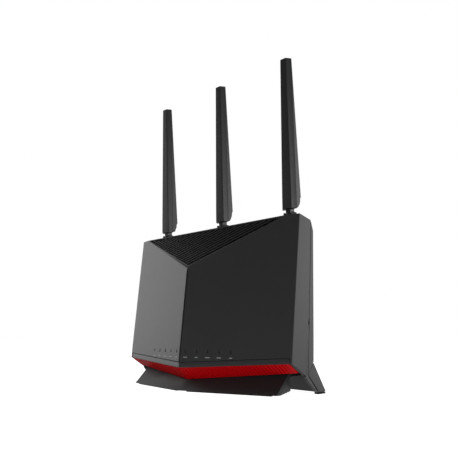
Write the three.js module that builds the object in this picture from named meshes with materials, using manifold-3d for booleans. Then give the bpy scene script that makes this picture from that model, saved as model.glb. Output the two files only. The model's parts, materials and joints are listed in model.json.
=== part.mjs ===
// Tower wireless router with three folding antennas, built from separate pieces.
// Millimetres. +X to the viewer's right, -Y is the front, +Z up, origin on the floor under the middle.
import * as THREE from "three";
import { ConvexGeometry } from "three/addons/geometries/ConvexGeometry.js";
import { mergeVertices } from "three/addons/utils/BufferGeometryUtils.js";
import Module from "manifold-3d";

const wasm = await Module();
wasm.setup();

// ---- driving dimensions ----
const GAP = 0.3; // clearance between pieces that touch
const WALL = 2.4; // moulded wall thickness
const FACET_Y = -51.4; // front crease line carried down to the floor
const FACET_SLOPE_X = 0.25; // each front facet falls back by this much per mm sideways
const FACET_SLOPE_Z = 0.107; // and by this much per mm upwards
const HALF_WIDTH = 114; // front facet's outer edge
const SIDE_X = 115; // outermost side of the housing
const TOP_Z = 165; // top edge of the front facets
const TOP_FALL = 0.22; // the top deck falls to the rear by this much per mm
const VENT_RIM = 1.1; // rim between the facets' edges and the vent opening
const VENT_X = 102.4; // outer end of the vent's V
const APEX_Z = 122.6; // point of the vent's V, on the crease
const LIP_Z = 23; // lower lip on the crease
const LIP_RISE = 0.054; // the lip climbs outwards by this much per mm
const SEAM_HEIGHT = 4.6; // bezel height above the lip
const PARTING_Y = 2.3; // rear edge of the front cover, carried down to the floor
const PARTING_SLOPE = 0.0566; // the parting line leans back by this much per mm
const REAR_Y = 34; // flat rear panel
const REAR_HALF = 98; // half width of the rear panel
const FLOOR_FRONT = -48.5; // foot of the front skirt on the centre line
const FLOOR_REAR = 50; // foot of the rear skirt on the centre line
const FLOOR_HALF = 100; // half width of the front skirt on the floor
const PAD = 1.6; // thickness of the rubber pads
const SKIRT_Z = 0.9; // the skirts end this far above the floor, so the pads carry the weight
const ANTENNA_PITCH = 90;
const ANTENNA_Y = 12.8;
const PIN_Z = 183; // tilt pin of the antennas
const CUP_TOP = 172; // rim of the cup that each antenna turns in
const BLADE_BOTTOM = 175.2;
const BLADE_SHOULDER = 187; // the blade steps in below this height, at the back
const BLADE_TOP = 327;
const BOARD_Y = 11.5; // front face of the main board
const BOARD_T = 1.6;
const LED_FIRST = 6.5;
const LED_PITCH = 12.1;
const LED_Z = 38.4;

// ---- solids ----
const facetY = (x, z) => FACET_Y + FACET_SLOPE_X * Math.abs(x) + FACET_SLOPE_Z * z;
const partingY = (z) => PARTING_Y + PARTING_SLOPE * z;
const deckZ = (y) => TOP_Z - TOP_FALL * (y + 6);
const lipZ = (x) => LIP_Z + LIP_RISE * Math.abs(x);
const skirtFloorY = (x) => FLOOR_FRONT + 0.245 * Math.abs(x);
const rearFloorY = (x) => FLOOR_REAR - 0.158 * Math.abs(x);

function solid(geometry) {
  const g = geometry.clone();
  g.deleteAttribute("normal");
  if (g.attributes.uv) g.deleteAttribute("uv");
  const m = mergeVertices(g, 1e-4);
  return new wasm.Manifold(
    new wasm.Mesh({
      numProp: 3,
      vertProperties: new Float32Array(m.attributes.position.array),
      triVerts: new Uint32Array(m.index.array),
    }),
  );
}

const hull = (points) => solid(new ConvexGeometry(points.map((p) => new THREE.Vector3(...p))));

// A hull of points and the same points mirrored in the plane X = 0.
const mirroredHull = (points) => hull([...points, ...points.map(([x, y, z]) => [-x, y, z])]);

// Two mirror halves that meet on X = 0, for V shapes that one hull would fill in.
const vee = (points) => hull(points).add(hull(points.map(([x, y, z]) => [-x, y, z])));

function box(x0, x1, y0, y1, z0, z1) {
  const g = new THREE.BoxGeometry(x1 - x0, y1 - y0, z1 - z0);
  g.translate((x0 + x1) / 2, (y0 + y1) / 2, (z0 + z1) / 2);
  return solid(g);
}

// A cylinder from `from`, of the given length along an axis.
function rod(radius, length, from, axis = "z", sides = 20, tip = radius) {
  const g = new THREE.CylinderGeometry(tip, radius, length, sides);
  g.translate(0, length / 2, 0);
  if (axis === "z") g.rotateX(Math.PI / 2);
  if (axis === "x") g.rotateZ(-Math.PI / 2);
  g.translate(...from);
  return solid(g);
}

const join = (list) => list.reduce((sum, s) => sum.add(s));
const cut = (from, ...tools) => tools.reduce((rest, t) => rest.subtract(t), from);

// ---- finishes ----
const FINISH = {
  shell: { color: 0x2c2d2e, roughness: 0.55, metalness: 0 },
  base: { color: 0x2a2a2b, roughness: 0.6, metalness: 0 },
  grille: { color: 0x1d1e1f, roughness: 0.5, metalness: 0 },
  trim: { color: 0xa00f18, roughness: 0.4, metalness: 0 },
  antenna: { color: 0x232425, roughness: 0.55, metalness: 0 },
  pivot: { color: 0x111112, roughness: 0.45, metalness: 0 },
  steel: { color: 0xb4b6b8, roughness: 0.35, metalness: 1 },
  alloy: { color: 0xa8abae, roughness: 0.45, metalness: 1 },
  board: { color: 0x14402a, roughness: 0.5, metalness: 0 },
  chip: { color: 0x151515, roughness: 0.5, metalness: 0 },
  blue: { color: 0x1f5fb4, roughness: 0.5, metalness: 0 },
  socket: { color: 0x18181a, roughness: 0.5, metalness: 0 },
  lens: { color: 0xd8dde0, roughness: 0.25, metalness: 0 },
  rubber: { color: 0x0e0e0f, roughness: 0.9, metalness: 0 },
  copper: { color: 0xb87245, roughness: 0.4, metalness: 1 },
  cable: { color: 0x202020, roughness: 0.6, metalness: 0 },
};

const SIDES = [
  ["left", -1],
  ["right", 1],
];
const router = new THREE.Group();

function place(name, piece, finish) {
  const m = piece.getMesh();
  const g = new THREE.BufferGeometry();
  g.setAttribute("position", new THREE.BufferAttribute(new Float32Array(m.vertProperties), 3));
  g.setIndex(new THREE.BufferAttribute(new Uint32Array(m.triVerts), 1));
  const flat = g.toNonIndexed();
  flat.computeVertexNormals();
  const mesh = new THREE.Mesh(flat, new THREE.MeshStandardMaterial(FINISH[finish]));
  mesh.name = name;
  router.add(mesh);
}

// ---- casing ----
// The faceted front volume, drawn in by `inset` on every side; the rear runs to `rear` past the parting.
function frontVolume(inset, rear, drop) {
  const front = (x, z) => facetY(x, z) + inset * 1.08;
  const half = HALF_WIDTH - inset;
  const side = SIDE_X - inset;
  const vent = VENT_X - inset * 0.6;
  const top = TOP_Z - inset * 1.1;
  const apex = APEX_Z - inset * 1.9;
  const back = (z) => partingY(z) + rear;
  return mirroredHull([
    [0, front(0, LIP_Z - drop), LIP_Z - drop],
    [half, front(half, lipZ(half) - drop), lipZ(half) - drop],
    [0, front(0, apex), apex],
    [vent, front(vent, top), top],
    [half, front(half, top), top],
    [side, back(161.5), deckZ(partingY(161)) - inset * 1.1 - TOP_FALL * rear],
    [side, back(15.5), 15.5 - drop],
  ]);
}

const coverShell = cut(frontVolume(0, 0, 0), frontVolume(WALL, 20, 30));

// The strip under the seam line that the bezel fills, with a margin all round.
function bezelZone(margin) {
  const end = 111.4 + margin;
  const seam = (x) => lipZ(x) + SEAM_HEIGHT + margin;
  const deep = (x, z) => facetY(x, z) + 6 + margin;
  return vee([
    [0, -80, 5],
    [0, -80, seam(0)],
    [0, deep(0, seam(0)), seam(0)],
    [0, deep(0, seam(0)), 5],
    [end, -80, 5],
    [end, -80, seam(end)],
    [end, deep(end, seam(end)), seam(end)],
    [end, deep(end, seam(end)), 5],
  ]);
}

// The vent's V on the sloping top, drawn in by `margin`, as a prism straight through the wall.
const ventTop = (x) => [x, facetY(x, TOP_Z), TOP_Z];
const ventApex = [0, facetY(0, APEX_Z), APEX_Z];
const ventNormal = new THREE.Vector3(0, -(TOP_Z - APEX_Z), facetY(VENT_X, TOP_Z) - ventApex[1]).normalize();

function ventPrism(margin, above, below) {
  const rise = new THREE.Vector3(0, ventNormal.z, -ventNormal.y); // up the slope
  const edgeAngle = Math.atan2(TOP_Z - APEX_Z, VENT_X * rise.z);
  const pull = margin / Math.tan(edgeAngle / 2);
  const corners = [
    new THREE.Vector3(...ventTop(VENT_X - pull)).addScaledVector(rise, -margin),
    new THREE.Vector3(...ventTop(-VENT_X + pull)).addScaledVector(rise, -margin),
    new THREE.Vector3(...ventApex).addScaledVector(rise, margin / Math.cos(edgeAngle)),
  ];
  const points = [];
  for (const c of corners) {
    for (const d of [above, -below]) {
      points.push(c.clone().addScaledVector(ventNormal, d).toArray());
    }
  }
  return hull(points);
}

// Small upright windows for the status lights, five on each front facet.
const LED_X = [0, 1, 2, 3, 4].flatMap((i) => [-(LED_FIRST + i * LED_PITCH), LED_FIRST + i * LED_PITCH]);
const LED_HALF = [0.65, 1.7]; // half width and half height of a window
function ledPrism(x, margin, front, back) {
  const y = facetY(x, LED_Z);
  const [w, h] = LED_HALF;
  return box(x - w + margin, x + w - margin, y + front, y + back, LED_Z - h + margin, LED_Z + h - margin);
}

// The strip below the lip, grown by `grow` where it cuts clearance into its neighbours.
const redTop = (x) => lipZ(x) - 0.6;
const redBottomY = (x) => -36.8 + 0.27 * Math.abs(x);
const redBottomZ = (x) => 10.7 + 0.083 * Math.abs(x);
function redStrip(grow) {
  const end = 111 + grow;
  return vee(
    [0, end].flatMap((x) => [
      [x, facetY(x, LIP_Z) + 0.8 - grow, redTop(x) + grow * 0.3],
      [x, facetY(x, LIP_Z) + 5.2, redTop(x) + 0.1 + grow],
      [x, redBottomY(x) - grow * 0.7, redBottomZ(x) - grow],
      [x, redBottomY(x) + 3 + grow, redBottomZ(x) + 1.4],
    ]),
  );
}

// A narrow groove down the crease, from just under the vent's point to the seam.
const creaseGroove = hull(
  [LIP_Z + SEAM_HEIGHT + 1, APEX_Z - 3].flatMap((z) =>
    [-1.1, 1.1].flatMap((x) => [
      [x, facetY(0, z) - 10, z],
      [x, facetY(0, z) + 1.5, z],
    ]),
  ),
);

const deckWindow = box(-106.3, 106.3, -3.6, 30, 150, 175);

// A small pry notch in the right-hand parting line, for opening the casing.
const NOTCH_Z = 65.6;
const pryNotch = box(SIDE_X - 1.2, 120, partingY(NOTCH_Z) - 0.9, partingY(NOTCH_Z) + 0.5, NOTCH_Z - 2.3, NOTCH_Z + 2.3);

const BOSS_X = 104;
const BOSS_Z = [40, 142];
const bosses = [];
for (const sx of [-1, 1]) {
  for (const z of BOSS_Z) {
    const y0 = facetY(BOSS_X, z) + WALL * 1.08 - 0.6;
    bosses.push(
      cut(
        rod(3.6, partingY(z) - 0.3 - y0, [sx * BOSS_X, y0, z], "y", 12),
        rod(1.7, 14, [sx * BOSS_X, partingY(z) - 10, z], "y", 10),
      ),
    );
  }
}

// The cover's own narrow leg that runs down beside the rear leg to the floor.
const coverLeg = (s) =>
  hull(
    [112.6, SIDE_X].flatMap((x) => [
      [s * x, -1.6, 17.2],
      [s * x, 2.9, 18.2],
      [s * x, 3.1, 12.2],
      [s * x, 16.6, PAD + GAP],
      [s * x, 18.6, PAD + GAP],
    ]),
  );

place(
  "front_cover",
  cut(
    join([coverShell, ...bosses, coverLeg(1), coverLeg(-1)]),
    bezelZone(GAP),
    redStrip(GAP),
    ventPrism(VENT_RIM, 5, 12),
    creaseGroove,
    deckWindow,
    pryNotch,
    ...LED_X.map((x) => ledPrism(x, 0, -7, 7)),
  ),
  "shell",
);
place("lower_bezel", cut(coverShell.intersect(bezelZone(0)), redStrip(GAP)), "shell");

// Vent grille: thin bars that all run along the V's right-hand edge, tied together by ribs under them.
const slotRun = new THREE.Vector3(...ventTop(VENT_X)).sub(new THREE.Vector3(...ventApex)).normalize();
const ribRun = slotRun.clone().setX(-slotRun.x);

// A long straight strip across the vent, parallel to `run`, `from` the V's edge and `width` across.
function ventStrip(run, from, width) {
  const across = new THREE.Vector3().crossVectors(run, ventNormal);
  if (across.x * run.x > 0) across.negate();
  const middle = new THREE.Vector3(...ventApex).addScaledVector(across, from + width / 2);
  const normal = new THREE.Vector3().crossVectors(run, across);
  const g = new THREE.BoxGeometry(260, width, 30);
  g.applyMatrix4(new THREE.Matrix4().makeBasis(run, across, normal));
  g.translate(middle.x, middle.y, middle.z);
  return solid(g);
}
const BAR_PITCH = 4.07;
const BAR_WIDTH = 1.8;
const BAR_FIRST = 5.2; // a wide gap lies between the V's edge and the first bar
const RIB_PITCH = 11.6;
const RIB_WIDTH = 1.2;
const bars = [];
for (let i = 0; i < 21; i += 1) {
  bars.push(ventStrip(slotRun, BAR_FIRST + i * BAR_PITCH, BAR_WIDTH));
}
const ribs = [];
for (let i = 0; i < 8; i += 1) {
  ribs.push(ventStrip(ribRun, 1.8 + i * RIB_PITCH, RIB_WIDTH));
}
const underFrame = cut(ventPrism(0, -3.0, 4.2), ventPrism(VENT_RIM + GAP + 1.2, 0, 8));
const lattice = join([
  join(bars).intersect(ventPrism(0, -0.7, 1.7)),
  join(ribs).intersect(ventPrism(0, -1.5, 3.9)),
  underFrame,
]);
place("top_grille", lattice.intersect(ventPrism(VENT_RIM + GAP, 0, 6)), "grille");

// ---- rear housing, with the top deck, the legs and the rear skirt ----
function rearVolume(inset, forward) {
  const side = SIDE_X - inset;
  return mirroredHull([
    [side, partingY(160) + GAP - forward, 160 - inset],
    [side, 14.9, 151.3 - inset],
    [side, 12.4, 29.8],
    [side, partingY(18.6) + GAP - forward, inset > 0 ? 12 : 18.6],
    [side, partingY(29.8) + GAP - forward, 29.8],
    [REAR_HALF - inset, REAR_Y - inset, 148 - inset],
    [REAR_HALF - inset, REAR_Y - inset, inset > 0 ? 34 : 30],
    [REAR_HALF - inset, 30 - inset, 157 - inset],
    [REAR_HALF - inset, 16, inset > 0 ? 20 : 22.5],
  ]);
}

const rearSkirt = vee(
  [0, 109.6].flatMap((x) => [
    [x, rearFloorY(x), SKIRT_Z],
    [x, rearFloorY(x) - 4.6, SKIRT_Z],
    [x, 31 - 0.17 * x, 29.6],
    [x, 26.4 - 0.168 * x, 29.6],
  ]),
);

const rearLeg = (s) =>
  hull(
    [109.5, SIDE_X].flatMap((x) => [
      [s * x, partingY(18.6) + GAP, 18.2],
      [s * x, 12.2, 29.4],
      [s * x, 32, PAD + GAP],
      [s * x, 20.4, PAD + GAP],
    ]),
  );

const DECK_DROP = 0.2; // the deck lies this far under the facets' top edge
const topDeck = mirroredHull(
  [
    [106, -3.3],
    [106, 12],
    [100, 24],
  ].flatMap(([x, y]) => [
    [x, y, deckZ(y) - DECK_DROP],
    [x, y, deckZ(y) - DECK_DROP - WALL],
  ]),
);

// Rear sockets: x centre, half width, bottom and top of each opening in the rear panel.
const JACK_Z = 40;
const PORTS = {
  dc_jack: [84, 5.2, 11],
  power_button: [69, 5.6, 11.2],
  usb_port_1: [48, 3.3, 14],
  usb_port_2: [36, 3.3, 14],
  fast_lan_jack: [16, 8.2, 14],
  wan_jack: [-4, 8.2, 14],
  lan_jack_block: [-50, 33, 14],
};
const portHoles = Object.values(PORTS).map(([x, half, h]) =>
  box(x - half - GAP, x + half + GAP, REAR_Y - 8, REAR_Y + 8, JACK_Z - GAP, JACK_Z + h + GAP),
);
const RESET = [59, JACK_Z + 5.5];
const SMALL_BUTTONS = { pairing_button: 78, wireless_button: 64, led_button: 50 };
const smallHoles = Object.values(SMALL_BUTTONS).map((x) =>
  rod(3.3 + GAP, 16, [x, REAR_Y - 8, 66], "y", 16),
);
const rearSlots = [];
for (let row = 0; row < 9; row += 1) {
  rearSlots.push(box(-70, 70, REAR_Y - 6, REAR_Y + 6, 84 + row * 6, 86.6 + row * 6));
}
const rearRibs = [-35, 0, 35].map((x) =>
  box(x - 2, x + 2, REAR_Y - WALL, REAR_Y, 82, 136),
);
const ANTENNA_X = { left: -ANTENNA_PITCH, middle: 0, right: ANTENNA_PITCH };
const deckAt = deckZ(ANTENNA_Y);
const antennaHoles = Object.values(ANTENNA_X).map((x) =>
  rod(4.7, 20, [x, ANTENNA_Y, deckAt - 10], "z", 20),
);
const screwHoles = [];
const screwWells = [];
for (const sx of [-1, 1]) {
  for (const z of BOSS_Z) {
    screwWells.push(rod(4.2, 20, [sx * BOSS_X, partingY(z) + 2.2, z], "y", 14));
    screwHoles.push(rod(2.0, 30, [sx * BOSS_X, 0, z], "y", 10));
  }
}
const rearBosses = [];
for (const sx of [-1, 1]) {
  for (const z of BOSS_Z) {
    rearBosses.push(rod(5.8, 20, [sx * BOSS_X, partingY(z) + GAP, z], "y", 14));
  }
}

const rearShell = cut(rearVolume(0, 0), rearVolume(WALL, 8));
place(
  "rear_housing",
  cut(
    join([
      cut(rearShell, ...rearSlots).add(join(rearRibs)),
      topDeck,
      join(rearBosses).intersect(rearVolume(0, 0)),
    ]),
    ...portHoles,
    ...smallHoles,
    ...antennaHoles,
    ...screwWells,
    ...screwHoles,
    rod(1.9, 16, [RESET[0], REAR_Y - 8, RESET[1]], "y", 12),
    pryNotch,
  ),
  "shell",
);

// The rear stand: a V-shaped skirt between two splayed legs, under the housing's lower edge.
place("rear_stand", cut(join([rearSkirt, rearLeg(1), rearLeg(-1)]), rearVolume(-GAP, 0)), "shell");

// ---- base ----
place("red_trim", redStrip(0), "trim");

const frontSkirt = vee(
  [0, FLOOR_HALF].flatMap((x) => [
    [x, skirtFloorY(x), SKIRT_Z],
    [x, skirtFloorY(x) + 6.5, SKIRT_Z],
    [x, skirtFloorY(x) + 19, 19.5],
    [x, skirtFloorY(x) + 25, 19.5],
  ]),
);
const sideWeb = (s) =>
  hull([
    [s * 100, skirtFloorY(100), SKIRT_Z],
    [s * 101, skirtFloorY(100) + 5, SKIRT_Z],
    [s * 95, skirtFloorY(100) + 5, SKIRT_Z],
    [s * 84, 19, SKIRT_Z],
    [s * 80, 19, SKIRT_Z],
    [s * 99, skirtFloorY(100) + 19, 19.5],
    [s * 90, 6, 19.5],
    [s * 86, 6, 19.5],
  ]);
const baseDeck = vee([
  [0, -30, 16.6],
  [0, -28.6, 19.5],
  [0, 32.2, 16.6],
  [0, 32.2, 19.5],
  [99, -5, 16.6],
  [99, -5, 19.5],
  [99, 15.6, 16.6],
  [99, 15.6, 19.5],
]);
const PAD_ENDS = [7, 93];
const frontPad = (s, margin, low) =>
  hull(
    [low, PAD + margin].flatMap((z) =>
      [PAD_ENDS[0] - margin, PAD_ENDS[1] + margin].flatMap((x) => [
        [s * x, skirtFloorY(x) + 1.9 - margin + z * 0.7, z],
        [s * x, skirtFloorY(x) + 5.2 + margin + z * 0.4, z],
      ]),
    ),
  );
place(
  "base_stand",
  cut(
    join([frontSkirt, sideWeb(1), sideWeb(-1), baseDeck]),
    redStrip(GAP),
    frontPad(1, GAP, -1),
    frontPad(-1, GAP, -1),
  ),
  "base",
);

// Rubber pads: two let into the front skirt, two under the rear legs.
for (const [side, s] of SIDES) {
  place("front_pad_" + side, frontPad(s, 0, 0), "rubber");
  place(
    "rear_pad_" + side,
    hull(
      [0, PAD].flatMap((z) => [
        [s * 109.8, 20.6 - z * 0.2, z],
        [s * 114.6, 20.6 - z * 0.2, z],
        [s * 109.8, 31.8 - z * 0.2, z],
        [s * 114.6, 31.8 - z * 0.2, z],
      ]),
    ),
    "rubber",
  );
}

// ---- electronics ----
const boardRear = BOARD_Y + BOARD_T;
place("main_board", box(-94, 94, BOARD_Y, boardRear, 30, 146), "board");
const fins = [];
for (let i = 0; i < 9; i += 1) {
  fins.push(box(-56 + i * 13.6, -54 + i * 13.6, -2, 7.5, 62, 132));
}
place("heat_sink", join([box(-58, 58, 7, 9.2, 60, 134), ...fins]), "alloy");
place("processor", box(-13, 13, 9.2 + GAP, BOARD_Y - GAP, 84, 110), "chip");
place("rf_shield_1", box(-72, -26, boardRear + GAP, boardRear + 3.6, 92, 134), "steel");
place("rf_shield_2", box(26, 72, boardRear + GAP, boardRear + 3.6, 92, 134), "steel");
place("memory_chip", box(-10, 8, boardRear + GAP, boardRear + 1.4, 88, 100), "chip");
place("flash_chip", box(-8, 6, boardRear + GAP, boardRear + 1.4, 110, 122), "chip");

const jackBack = boardRear + GAP;
const jackFace = REAR_Y + 0.2;
const socketCut = (x, half, z0, z1, depth) => box(x - half, x + half, jackFace - depth, jackFace + 2, z0, z1);
const jackBody = (name) => {
  const [x, half, h] = PORTS[name];
  return box(x - half, x + half, jackBack, jackFace, JACK_Z, JACK_Z + h);
};
const lanCuts = [0, 1, 2, 3].map((i) => socketCut(-50 - 24.6 + i * 16.4, 6, 43, 51, 15));
place("lan_jack_block", cut(jackBody("lan_jack_block"), ...lanCuts), "socket");
place("wan_jack", cut(jackBody("wan_jack"), socketCut(-4, 6, 43, 51, 15)), "blue");
place("fast_lan_jack", cut(jackBody("fast_lan_jack"), socketCut(16, 6, 43, 51, 15)), "socket");
for (const name of ["usb_port_1", "usb_port_2"]) {
  const [x, half, h] = PORTS[name];
  const shell = cut(jackBody(name), socketCut(x, half - 0.6, JACK_Z + 0.6, JACK_Z + h - 0.6, 15));
  const tongue = box(x - 2.2, x - 0.4, jackFace - 16, jackFace - 2, JACK_Z + 1.4, JACK_Z + h - 1.4);
  place(name, shell.add(tongue), "steel");
}
const dcX = PORTS.dc_jack[0];
place(
  "dc_jack",
  cut(jackBody("dc_jack"), rod(3.2, 16, [dcX, jackFace - 12, JACK_Z + 5.5], "y", 16)).add(
    rod(0.9, 12, [dcX, jackFace - 13, JACK_Z + 5.5], "y", 8),
  ),
  "socket",
);

// ---- buttons: each plunger stands clear of its switch by its travel ----
const powerX = PORTS.power_button[0];
place(
  "power_switch",
  box(powerX - 5.4, powerX + 5.4, jackBack, REAR_Y - 12, JACK_Z, JACK_Z + 11),
  "socket",
);
place(
  "power_button",
  box(powerX - 5.2, powerX + 5.2, REAR_Y - 8, REAR_Y + 2.6, JACK_Z + 0.4, JACK_Z + 10.8),
  "pivot",
);
place("reset_button", rod(1.5, 8, [RESET[0], REAR_Y - 8.6, RESET[1]], "y", 12), "pivot");
for (const [name, x] of Object.entries(SMALL_BUTTONS)) {
  const cap = rod(3.2, 6, [x, REAR_Y - 4.6, 66], "y", 16);
  const flange = rod(4.4, 1.2, [x, REAR_Y - 5.2, 66], "y", 16);
  place(name, cap.add(flange), "pivot");
}

// ---- light guides ----
for (const [side, s] of SIDES) {
  const x0 = LED_FIRST - 3;
  const x1 = LED_FIRST + 4 * LED_PITCH + 3;
  const bar = hull(
    [x0, x1].flatMap((x) =>
      [5, 8].flatMap((d) => [
        [s * x, facetY(x, LED_Z) + d, LED_Z - 2],
        [s * x, facetY(x, LED_Z) + d, LED_Z + 2],
      ]),
    ),
  );
  const prongs = LED_X.filter((x) => x * s > 0).map((x) => ledPrism(x, GAP, 0.6, 6.5));
  place("light_guide_" + side, join([bar, ...prongs]), "lens");
}

// ---- antennas ----
// Blade section at one height: an octagon between a front and a back plane, with deep front chamfers.
const CHAMFER_X = 3.2;
const CHAMFER_FRONT = 4.5;
const CHAMFER_BACK = 2.6;
function bladeRing(z, half, front, back) {
  return [-1, 1].flatMap((s) => [
    [s * (half - CHAMFER_X), front, z],
    [s * half, front + CHAMFER_FRONT, z],
    [s * half, back - CHAMFER_BACK, z],
    [s * (half - CHAMFER_X), back, z],
  ]);
}
const BLADE_HALF = 8.6;
const KNUCKLE = PIN_Z - BLADE_BOTTOM; // the blade's foot is rounded about the pin by this radius
const coreY = (z) => -0.9 - 0.035 * (z - PIN_Z); // middle of the blade's thickness

// A thin upright slab along the middle of the blade.
const slab = (half, thick, z0, z1) =>
  hull(
    [z0, z1].flatMap((z) =>
      [-half, half].flatMap((x) => [
        [x, coreY(z) - thick / 2, z],
        [x, coreY(z) + thick / 2, z],
      ]),
    ),
  );

for (const [side, x] of Object.entries(ANTENNA_X)) {
  const at = (s) => s.translate([x, ANTENNA_Y, 0]);
  const underDeck = hull(
    [-12, 12].flatMap((y) =>
      [-12, 12].flatMap((w) => [
        [w, y, deckZ(ANTENNA_Y + y) - DECK_DROP + GAP],
        [w, y, deckAt - 12],
      ]),
    ),
  );
  const cup = cut(
    rod(6.8, CUP_TOP - deckAt + 4, [0, 0, deckAt - 4], "z", 24, 6.4),
    underDeck,
    rod(4.7, 30, [0, 0, deckAt - 10], "z", 20),
    box(-4.4, 4.4, -9, 9, deckAt + 4.4, CUP_TOP + 1),
  );
  place("antenna_collar_" + side, at(cup), "base");

  const flangeZ = deckAt - 7.6;
  const barrelTop = CUP_TOP - 0.5;
  const neck = join([
    rod(6.2, 1.8, [0, 0, flangeZ], "z", 20),
    rod(4.1, barrelTop - flangeZ - 1, [0, 0, flangeZ + 1], "z", 20),
    box(-2.8, 2.8, -3.2, 3.2, barrelTop - 2, PIN_Z),
    rod(3.6, 5.6, [-2.8, 0, PIN_Z], "x", 20),
  ]);
  const pinHole = rod(1.5, 8, [-4, 0, PIN_Z], "x", 12);
  const bore = rod(1.3, 16, [0, 0, flangeZ - 2], "z", 8);
  place("antenna_neck_" + side, at(cut(neck, pinHole, bore)), "pivot");
  place("antenna_pin_" + side, at(rod(1.2, 13.2, [-6.6, 0, PIN_Z], "x", 12)), "steel");

  const upper = hull([
    ...bladeRing(BLADE_SHOULDER, BLADE_HALF, -5.5, 9.1),
    ...bladeRing(BLADE_TOP, 6.5, -9.2, -0.9),
  ]);
  const foot = bladeRing(BLADE_SHOULDER, BLADE_HALF, -5.5, KNUCKLE);
  for (const s of [-1, 1]) {
    foot.push([s * (BLADE_HALF - CHAMFER_X), -5.2, BLADE_BOTTOM]);
    foot.push([s * BLADE_HALF, -5.2 + CHAMFER_FRONT, BLADE_BOTTOM]);
    for (const turn of [0, 0.25, 0.5].map((t) => t * Math.PI)) {
      const [c, d] = [Math.cos(turn), Math.sin(turn)];
      const inner = KNUCKLE - CHAMFER_BACK;
      foot.push([s * (BLADE_HALF - CHAMFER_X), KNUCKLE * c, PIN_Z - KNUCKLE * d]);
      foot.push([s * BLADE_HALF, inner * c, PIN_Z - inner * d]);
    }
  }
  const fork = box(-3.1, 3.1, -4.1, 20, 160, PIN_Z + 4.4);
  const pinSeat = rod(1.5, 13.8, [-6.9, 0, PIN_Z], "x", 12);
  const blade = cut(upper.add(hull(foot)), fork, slab(2.6, 2, PIN_Z + 3, 317), pinSeat);
  place("antenna_blade_" + side, at(blade), "antenna");
  place("antenna_element_" + side, at(slab(2.2, 1, PIN_Z + 6, 313)), "copper");
}

// Thin coaxial leads from the board's top edge up into the hollow necks.
function lead(points, radius) {
  const circle = new THREE.Shape();
  circle.absarc(0, 0, radius, 0, Math.PI * 2, false);
  const curve = new THREE.CatmullRomCurve3(points.map((p) => new THREE.Vector3(...p)));
  const settings = { extrudePath: curve, steps: 14, curveSegments: 4, bevelEnabled: false };
  return solid(new THREE.ExtrudeGeometry(circle, settings));
}
for (const [side, x] of Object.entries(ANTENNA_X)) {
  const out = x > 0 ? -8 : 8;
  const route = [
    [x + out, 10, 137],
    [x + out, 8.8, 142],
    [x + out * 0.6, 9.8, 147.6],
    [x, ANTENNA_Y, 151.8],
    [x, ANTENNA_Y, 156.5],
  ];
  place("coax_cable_" + side, lead(route, 0.9), "cable");
}

// ---- fixings ----
for (const [side, s] of SIDES) {
  for (const [level, z] of [
    ["lower", BOSS_Z[0]],
    ["upper", BOSS_Z[1]],
  ]) {
    const seat = partingY(z) + 2.2 + GAP;
    const head = cut(
      rod(3.2, 2, [s * BOSS_X, seat, z], "y", 14),
      box(s * BOSS_X - 1.8, s * BOSS_X + 1.8, seat + 1, seat + 3, z - 0.4, z + 0.4),
      box(s * BOSS_X - 0.4, s * BOSS_X + 0.4, seat + 1, seat + 3, z - 1.8, z + 1.8),
    );
    const shank = rod(1.4, 11, [s * BOSS_X, seat - 10.5, z], "y", 10);
    place("housing_screw_" + level + "_" + side, head.add(shank), "steel");
  }
}

export default router;
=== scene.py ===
"""Looks of the tower router: finishes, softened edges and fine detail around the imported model."""

import json
import math

import bmesh
import bpy
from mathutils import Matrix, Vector


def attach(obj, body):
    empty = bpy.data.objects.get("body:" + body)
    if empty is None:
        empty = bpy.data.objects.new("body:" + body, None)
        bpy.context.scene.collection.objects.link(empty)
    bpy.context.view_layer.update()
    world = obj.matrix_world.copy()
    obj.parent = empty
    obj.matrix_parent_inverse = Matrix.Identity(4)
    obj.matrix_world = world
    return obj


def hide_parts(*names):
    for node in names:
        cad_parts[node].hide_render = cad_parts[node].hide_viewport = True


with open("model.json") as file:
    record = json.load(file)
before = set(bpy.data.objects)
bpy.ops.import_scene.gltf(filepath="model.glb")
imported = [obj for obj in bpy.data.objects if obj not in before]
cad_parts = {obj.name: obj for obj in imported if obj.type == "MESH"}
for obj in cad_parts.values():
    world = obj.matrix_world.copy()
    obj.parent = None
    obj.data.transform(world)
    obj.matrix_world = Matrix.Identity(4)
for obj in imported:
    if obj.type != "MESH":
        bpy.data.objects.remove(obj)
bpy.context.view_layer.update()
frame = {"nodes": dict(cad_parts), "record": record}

MM = 0.001

# ---- sizes of the design, in metres ----
FACET_Y = -51.4 * MM  # the front crease carried down to the floor
FACET_SLOPE_X = 0.25  # the facets fall back sideways
FACET_SLOPE_Z = 0.107  # and upwards
LIP_Z = 23 * MM
LIP_RISE = 0.054
LED_FIRST = 6.5 * MM
LED_PITCH = 12.1 * MM
LED_Z = 38.4 * MM
SOCKETS = {  # centres of the network sockets across the back, in millimetres
    "lan": (-74.6, -58.2, -41.8, -25.4),
    "wan": (-4.0,),
    "fast_lan": (16.0,),
}
CONTACT_PITCH = 1.02  # millimetres
ANTENNAS = ("left", "middle", "right")


def facet_y(x, z):
    return FACET_Y + FACET_SLOPE_X * abs(x) + FACET_SLOPE_Z * z


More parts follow.
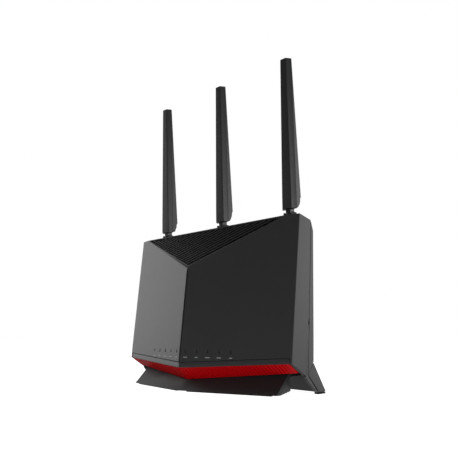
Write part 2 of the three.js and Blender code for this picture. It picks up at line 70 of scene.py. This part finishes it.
# ---- camera ----
def aim_camera():
    lens_data = bpy.data.cameras.new("view")
    lens_data.sensor_width = 36
    lens_data.lens = 41.7
    lens_data.shift_x = -0.0214
    lens_data.shift_y = 0.0983
    camera = bpy.data.objects.new("view", lens_data)
    bpy.context.scene.collection.objects.link(camera)
    camera.location = (0.3902, -0.3974, 0.0529)
    turn, rise = math.radians(41.83), math.radians(6.68)
    ahead = Vector((-math.sin(turn) * math.cos(rise), math.cos(turn) * math.cos(rise), math.sin(rise)))
    camera.rotation_euler = ahead.to_track_quat("-Z", "Y").to_euler()
    bpy.context.scene.camera = camera


aim_camera()


# ---- materials ----
def linear(hex_colour):
    """An sRGB hex colour as linear RGBA."""
    channels = [int(hex_colour[i : i + 2], 16) / 255 for i in (1, 3, 5)]
    curve = [c / 12.92 if c <= 0.04045 else ((c + 0.055) / 1.055) ** 2.4 for c in channels]
    return (*curve, 1)


def add(tree, kind, links=None, **settings):
    """A node of that kind, with its sockets set by name and its inputs linked."""
    node = tree.nodes.new(kind)
    for name, value in settings.items():
        if hasattr(node, name):
            setattr(node, name, value)
        else:
            node.inputs[name.replace("_", " ")].default_value = value
    for socket, source in (links or {}).items():
        tree.links.new(source, node.inputs[socket])
    return node


def new_material(name):
    """An empty material and its tree, with the shader joined to the output."""
    material = bpy.data.materials.new(name)
    material.use_nodes = True
    tree = material.node_tree
    tree.nodes.clear()
    shader = add(tree, "ShaderNodeBsdfPrincipled")
    add(tree, "ShaderNodeOutputMaterial", {"Surface": shader.outputs[0]})
    return material, tree, shader


def moulded(name, colour, shade, roughness, grain, depth, ior=1.53, specular=0.5):
    """Moulded polymer: a spark-eroded mould leaves a fine grain, and the colour clouds very slightly."""
    material, tree, shader = new_material(name)
    place = add(tree, "ShaderNodeTexCoord").outputs["Object"]
    cloud = add(tree, "ShaderNodeTexNoise", {"Vector": place}, Scale=1 / (38 * MM), Detail=3.0)
    tint = add(tree, "ShaderNodeMix", {"Factor": cloud.outputs["Fac"]}, data_type="RGBA")
    tint.inputs["A"].default_value = linear(colour)
    tint.inputs["B"].default_value = linear(shade)
    tree.links.new(tint.outputs["Result"], shader.inputs["Base Color"])
    fine = add(tree, "ShaderNodeTexNoise", {"Vector": place}, Scale=1 / grain, Detail=2.0)
    rough = add(tree, "ShaderNodeMapRange", {"Value": fine.outputs["Fac"]})
    rough.inputs["To Min"].default_value = roughness - 0.05
    rough.inputs["To Max"].default_value = roughness + 0.05
    tree.links.new(rough.outputs["Result"], shader.inputs["Roughness"])
    bump = add(tree, "ShaderNodeBump", {"Height": fine.outputs["Fac"]}, Strength=0.5, Distance=depth)
    tree.links.new(bump.outputs["Normal"], shader.inputs["Normal"])
    shader.inputs["IOR"].default_value = ior
    shader.inputs["Specular IOR Level"].default_value = specular
    return material


def metal(name, colour, shade, roughness, stroke, along):
    """Worked metal: fine lines drawn out along one axis by rolling, drawing or extrusion."""
    material, tree, shader = new_material(name)
    place = add(tree, "ShaderNodeTexCoord").outputs["Object"]
    stretch = add(tree, "ShaderNodeMapping", {"Vector": place})
    stretch.inputs["Scale"].default_value = [0.04 if axis == along else 1 for axis in range(3)]
    lines = add(tree, "ShaderNodeTexNoise", {"Vector": stretch.outputs[0]}, Scale=1 / stroke, Detail=3.0)
    tint = add(tree, "ShaderNodeMix", {"Factor": lines.outputs["Fac"]}, data_type="RGBA")
    tint.inputs["A"].default_value = linear(colour)
    tint.inputs["B"].default_value = linear(shade)
    tree.links.new(tint.outputs["Result"], shader.inputs["Base Color"])
    bump = add(tree, "ShaderNodeBump", {"Height": lines.outputs["Fac"]}, Strength=0.25, Distance=0.03 * MM)
    tree.links.new(bump.outputs["Normal"], shader.inputs["Normal"])
    shader.inputs["Metallic"].default_value = 1
    shader.inputs["Roughness"].default_value = roughness
    return material


def solder_mask():
    """Glass-epoxy board under green solder mask: copper tracks lift it in a fine mesh of lines."""
    material, tree, shader = new_material("solder_mask_on_glass_epoxy")
    place = add(tree, "ShaderNodeTexCoord").outputs["Object"]
    tracks = add(tree, "ShaderNodeTexBrick", {"Vector": place}, Scale=1 / (9 * MM))
    tracks.inputs["Color1"].default_value = linear("#17492f")
    tracks.inputs["Color2"].default_value = linear("#1b5537")
    tracks.inputs["Mortar"].default_value = linear("#0f3823")
    tree.links.new(tracks.outputs["Color"], shader.inputs["Base Color"])
    bump = add(tree, "ShaderNodeBump", {"Height": tracks.outputs["Fac"]}, Strength=0.3, Distance=0.05 * MM)
    tree.links.new(bump.outputs["Normal"], shader.inputs["Normal"])
    shader.inputs["Roughness"].default_value = 0.32
    return material


def clear_acrylic():
    """Moulded acrylic light guide: clear, with faint flow ripples."""
    material, tree, shader = new_material("moulded_acrylic")
    place = add(tree, "ShaderNodeTexCoord").outputs["Object"]
    ripple = add(tree, "ShaderNodeTexNoise", {"Vector": place}, Scale=1 / (3 * MM), Detail=1.0)
    bump = add(tree, "ShaderNodeBump", {"Height": ripple.outputs["Fac"]}, Strength=0.1, Distance=0.05 * MM)
    tree.links.new(bump.outputs["Normal"], shader.inputs["Normal"])
    tint = add(tree, "ShaderNodeMix", {"Factor": ripple.outputs["Fac"]}, data_type="RGBA")
    tint.inputs["A"].default_value = linear("#3a3c3e")
    tint.inputs["B"].default_value = linear("#46494b")
    tree.links.new(tint.outputs["Result"], shader.inputs["Base Color"])
    shader.inputs["Roughness"].default_value = 0.2
    shader.inputs["IOR"].default_value = 1.49
    return material


GRAIN = 0.35 * MM  # mould grain, drawn a little coarser than the real 0.1 mm so that it shows
ABS = moulded("moulded_abs_charcoal", "#1c1c1e", "#202022", 0.5, GRAIN, 0.03 * MM)
ABS_BASE = moulded("moulded_abs_base", "#1b1b1c", "#202021", 0.55, GRAIN, 0.035 * MM, specular=0.36)
# the grille is the shell's plastic drawn darker: painted shade standing in for the shade inside its deep
# vent slots
ABS_GRILLE_PAINTED_SHADE = moulded("moulded_abs_grille_painted_shade", "#101011", "#131314", 0.42, GRAIN, 0.02 * MM, specular=0.4)
# the antennas are the shell's plastic drawn darker: painted shade for the dimmer light that falls on them
ABS_ANTENNA_PAINTED_SHADE = moulded("moulded_abs_antenna_painted_shade", "#131415", "#171819", 0.42, GRAIN, 0.03 * MM, specular=0.4)
ABS_RED = moulded("moulded_abs_red", "#a20106", "#ae030b", 0.4, 0.5 * MM, 0.015 * MM, specular=0.06)
INK = moulded("printed_grey_ink", "#8d9093", "#979a9d", 0.6, 0.2 * MM, 0.005 * MM)
POM = moulded("moulded_acetal_black", "#0b0b0c", "#101011", 0.4, 0.4 * MM, 0.01 * MM, ior=1.48)
RUBBER = moulded("moulded_silicone_rubber", "#101011", "#151516", 0.85, 0.6 * MM, 0.05 * MM, ior=1.41)
RESIN = moulded("moulded_epoxy_resin", "#111112", "#161617", 0.55, 0.3 * MM, 0.02 * MM, ior=1.55)
SOCKET = moulded("moulded_nylon_black", "#101012", "#141416", 0.45, 0.4 * MM, 0.01 * MM)
SOCKET_BLUE = moulded("moulded_nylon_blue", "#1d57a6", "#2260b4", 0.45, 0.4 * MM, 0.01 * MM)
JACKET = moulded("extruded_lead_jacket", "#161617", "#1b1b1c", 0.5, 0.5 * MM, 0.02 * MM)
STEEL = metal("zinc_plated_steel", "#b9babd", "#a6a8ab", 0.35, 0.4 * MM, 0)
TIN = metal("tin_plated_steel", "#c3c4c6", "#b2b4b6", 0.3, 0.5 * MM, 2)
ALLOY = metal("extruded_aluminium", "#a9acaf", "#96999c", 0.42, 0.4 * MM, 2)
COPPER = metal("rolled_copper", "#b9744b", "#a5623d", 0.36, 0.4 * MM, 2)
GOLD = metal("gold_plated_brass", "#d0a648", "#bd9238", 0.28, 0.3 * MM, 1)

FINISHES = {
    "shell_plastic": ABS,
    "base_plastic": ABS_BASE,
    "grille_plastic": ABS_GRILLE_PAINTED_SHADE,
    "red_plastic": ABS_RED,
    "antenna_plastic": ABS_ANTENNA_PAINTED_SHADE,
    "button_plastic": POM,
    "pad_rubber": RUBBER,
    "steel": STEEL,
    "shield_tin": TIN,
    "heat_alloy": ALLOY,
    "copper_foil": COPPER,
    "board_laminate": solder_mask(),
    "chip_resin": RESIN,
    "socket_black": SOCKET,
    "socket_blue": SOCKET_BLUE,
    "lens_acrylic": clear_acrylic(),
    "cable_jacket": JACKET,
}
SLOT_OF = {s["node"]: s["material_slot"] for s in frame["record"]["subparts"]}
BODY_OF = {n: b for b, nodes in frame["record"]["behaviour"]["bodies"].items() for n in nodes}

for node_name, node_object in frame["nodes"].items():
    node_object.data.materials.clear()
    node_object.data.materials.append(FINISHES[SLOT_OF[node_name]])


# ---- mesh helpers ----
def new_piece(name, mesh, material, body):
    piece = bpy.data.objects.new(name, mesh)
    bpy.context.scene.collection.objects.link(piece)
    mesh.materials.clear()
    mesh.materials.append(material)
    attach(piece, body)
    return piece


VENT_SLOPE = Vector((0, -0.815, 0.579))  # normal of the sloping face that the vent opens in


def narrow_rim(edge):
    """Whether an edge is the vent's inner rim, which is too thin to round on both sides."""
    on_slope = any(f.normal.angle(VENT_SLOPE, math.pi) < math.radians(3) for f in edge.link_faces)
    return on_slope and edge.calc_face_angle(0) > math.radians(60)


def soften(node, name, width, segments=2, angle=27, shortest=4 * MM):
    """A copy of a CAD node with its long edges rounded, as a mould leaves them. Short ones stay crisp."""
    mesh = frame["nodes"][node].data.copy()
    work = bmesh.new()
    work.from_mesh(mesh)
    bmesh.ops.remove_doubles(work, verts=work.verts, dist=0.004 * MM)
    bmesh.ops.dissolve_degenerate(work, edges=work.edges, dist=0.06 * MM)
    low, high = ([pick(v.co[axis] for v in work.verts) for axis in range(3)] for pick in (min, max))
    sharp = [
        e
        for e in work.edges
        if len(e.link_faces) == 2
        and e.calc_face_angle(0) > math.radians(angle)
        and e.calc_length() > shortest
        and not narrow_rim(e)
    ]
    bmesh.ops.bevel(
        work, geom=sharp, offset=width, offset_type="OFFSET", segments=segments, profile=0.5,
        affect="EDGES", clamp_overlap=False,
    )
    for vert in work.verts:  # a very acute corner would otherwise overshoot
        vert.co = [min(max(vert.co[axis], low[axis]), high[axis]) for axis in range(3)]
    for edge in work.edges:  # shade across the roundings, but not across the crisp edges
        edge.smooth = edge.calc_face_angle(0) < math.radians(40)
    for face in work.faces:
        face.smooth = True
    work.to_mesh(mesh)
    work.free()
    piece = new_piece(name, mesh, FINISHES[SLOT_OF[node]], BODY_OF[node])
    keep_flat = piece.modifiers.new("flat_faces", "WEIGHTED_NORMAL")
    keep_flat.keep_sharp = True
    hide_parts(node)
    return piece


SOFTENED = {
    "front_cover": 0.45,
    "rear_housing": 0.4,
    "lower_bezel": 0.3,
    "base_stand": 0.5,
    "rear_stand": 0.5,
}
for node_name, width in SOFTENED.items():
    soften(node_name, node_name + "_moulding", width * MM)
for side in ANTENNAS:
    soften("antenna_blade_" + side, "antenna_paddle_" + side, 0.5 * MM)
    soften("antenna_collar_" + side, "antenna_cup_" + side, 0.4 * MM)


# ---- red ribbed strip ----
def red_line(x, drop, inward):
    """A point of the strip's slope: drop 0 at the top and 1 at the bottom, inward along its thickness."""
    top = Vector((x, facet_y(x, LIP_Z) + 0.8 * MM, LIP_Z + LIP_RISE * abs(x) - 0.6 * MM))
    low = Vector((x, (-36.8 * MM + 0.27 * abs(x)), 10.7 * MM + 0.083 * abs(x)))
    point = top.lerp(low, drop)
    return point + Vector((0, 0.72, 0.69)) * inward


def ribbed_strip(ribs=32, reach=111 * MM, height=0.8 * MM):
    shape = [(0.0, 0.0), (0.12, 1.0), (0.42, 1.0), (0.54, 0.0)]  # one rib across its pitch
    stations = []
    pitch = reach / ribs
    for i in range(-ribs, ribs):
        stations += [((i + across) * pitch, lift * height) for across, lift in shape]
    stations.append((reach, 0.0))
    mesh = bpy.data.meshes.new("ribbed_strip")
    work = bmesh.new()
    rings = []
    for x, lift in stations:
        ring = [red_line(x, 0.0, 0.5 * MM)]
        ring += [red_line(x, drop, 0.7 * MM - lift) for drop in (0.04, 0.96)]
        ring.append(red_line(x, 1.0, 0.5 * MM))
        ring.append(red_line(x, 0.96, 2.2 * MM))
        ring.append(red_line(x, 0.12, 2.2 * MM))
        rings.append([work.verts.new(p) for p in ring])
    for near, far in zip(rings, rings[1:]):
        for i in range(len(near)):
            j = (i + 1) % len(near)
            work.faces.new((near[i], near[j], far[j], far[i]))
    work.faces.new(list(reversed(rings[0])))
    work.faces.new(rings[-1])
    bmesh.ops.recalc_face_normals(work, faces=work.faces)
    work.to_mesh(mesh)
    work.free()
    strip = new_piece("ribbed_strip", mesh, ABS_RED, "casing")
    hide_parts("red_trim")


ribbed_strip()


# ---- small fittings that ride on the casing ----
def slabs(name, corners, material):
    """One piece made of thin slabs, each given by its eight corners: four near, then four far."""
    mesh = bpy.data.meshes.new(name)
    work = bmesh.new()
    for eight in corners:
        v = [work.verts.new(p) for p in eight]
        for ring in ((0, 1, 2, 3), (7, 6, 5, 4), (0, 4, 5, 1), (1, 5, 6, 2), (2, 6, 7, 3), (3, 7, 4, 0)):
            work.faces.new([v[i] for i in ring])
    bmesh.ops.recalc_face_normals(work, faces=work.faces)
    work.to_mesh(mesh)
    work.free()
    return new_piece(name, mesh, material, "casing")


def socket_contacts(centre):
    """Eight sprung contacts that slope down from a network socket's ceiling."""
    strips = []
    for i in range(8):
        x = (centre + (i - 3.5) * CONTACT_PITCH) * MM
        mouth, inner = (31.0 * MM, 50.9 * MM), (21.0 * MM, 47.2 * MM)  # depth and height of the two ends
        half, thick = 0.2 * MM, 0.25 * MM
        strips.append(
            [
                Vector((x + across, y, z + lift))
                for y, z in (mouth, inner)
                for across, lift in ((-half, 0), (half, 0), (half, -thick), (-half, -thick))
            ]
        )
    return strips


for socket, centres in SOCKETS.items():
    slabs(socket + "_contacts", [s for x in centres for s in socket_contacts(x)], GOLD)


def light_labels():
    """A plain printed dash of varied length under each status light, 0.04 mm proud of the facet."""
    dashes = []
    low, high = 32.4 * MM, 33.1 * MM
    for i in range(10):
        centre = (LED_FIRST + (i // 2) * LED_PITCH) * (1 if i % 2 else -1)
        reach = (1.6 + 0.5 * (i * 7 % 3)) * MM
        dashes.append(
            [
                Vector((x, facet_y(x, z) + sink, z))
                for sink in (-0.04 * MM, 0.3 * MM)
                for x, z in (
                    (centre - reach, low),
                    (centre + reach, low),
                    (centre + reach, high),
                    (centre - reach, high),
                )
            ]
        )
    return dashes


slabs("light_labels", light_labels(), INK)


# ---- stage ----
def studio():
    floor_mesh = bpy.data.meshes.new("floor")
    work = bmesh.new()
    bmesh.ops.create_grid(work, x_segments=2, y_segments=2, size=8)
    work.to_mesh(floor_mesh)
    work.free()
    floor = bpy.data.objects.new("floor", floor_mesh)
    bpy.context.scene.collection.objects.link(floor)
    material, tree, shader = new_material("floor")
    shader.inputs["Base Color"].default_value = linear("#f4f4f4")
    shader.inputs["Roughness"].default_value = 0.9
    shader.inputs["Emission Color"].default_value = (1, 1, 1, 1)
    seen = add(tree, "ShaderNodeLightPath").outputs["Is Camera Ray"]
    level = add(tree, "ShaderNodeMapRange", {"Value": seen})
    level.inputs["To Min"].default_value = 0.45
    level.inputs["To Max"].default_value = 0.94
    tree.links.new(level.outputs["Result"], shader.inputs["Emission Strength"])
    floor_mesh.materials.append(material)

    world = bpy.data.worlds.new("studio")
    world.use_nodes = True
    tree = world.node_tree
    tree.nodes.clear()
    rays = add(tree, "ShaderNodeLightPath")
    glow = add(tree, "ShaderNodeBackground", Color=(1, 1, 1, 1), Strength=1.0)
    fill = add(tree, "ShaderNodeBackground", Color=(1, 1, 1, 1), Strength=0.1)
    both = add(
        tree,
        "ShaderNodeMixShader",
        {0: rays.outputs["Is Camera Ray"], 1: fill.outputs[0], 2: glow.outputs[0]},
    )
    add(tree, "ShaderNodeOutputWorld", {"Surface": both.outputs[0]})
    bpy.context.scene.world = world

    def softbox(name, place, size, power):
        lamp = bpy.data.lights.new(name, "AREA")
        lamp.shape = "RECTANGLE"
        lamp.size, lamp.size_y = size
        lamp.energy = power
        box = bpy.data.objects.new(name, lamp)
        box.location = place
        toward = Vector((0, 0, 0.12)) - Vector(place)
        box.rotation_euler = toward.to_track_quat("-Z", "Y").to_euler()
        bpy.context.scene.collection.objects.link(box)

    softbox("left_softbox", (-1.38, -0.30, 0.50), (0.7, 1.1), 8.0)
    softbox("right_rear_softbox", (1.0, 1.15, 0.42), (1.0, 0.9), 8.5)
    softbox("right_front_card", (1.35, -0.62, 0.34), (0.3, 0.5), 7)
    softbox("overhead_softbox", (0.0, 0.2, 1.5), (1.2, 1.2), 4)
    bpy.context.scene.view_settings.view_transform = "Standard"


studio()
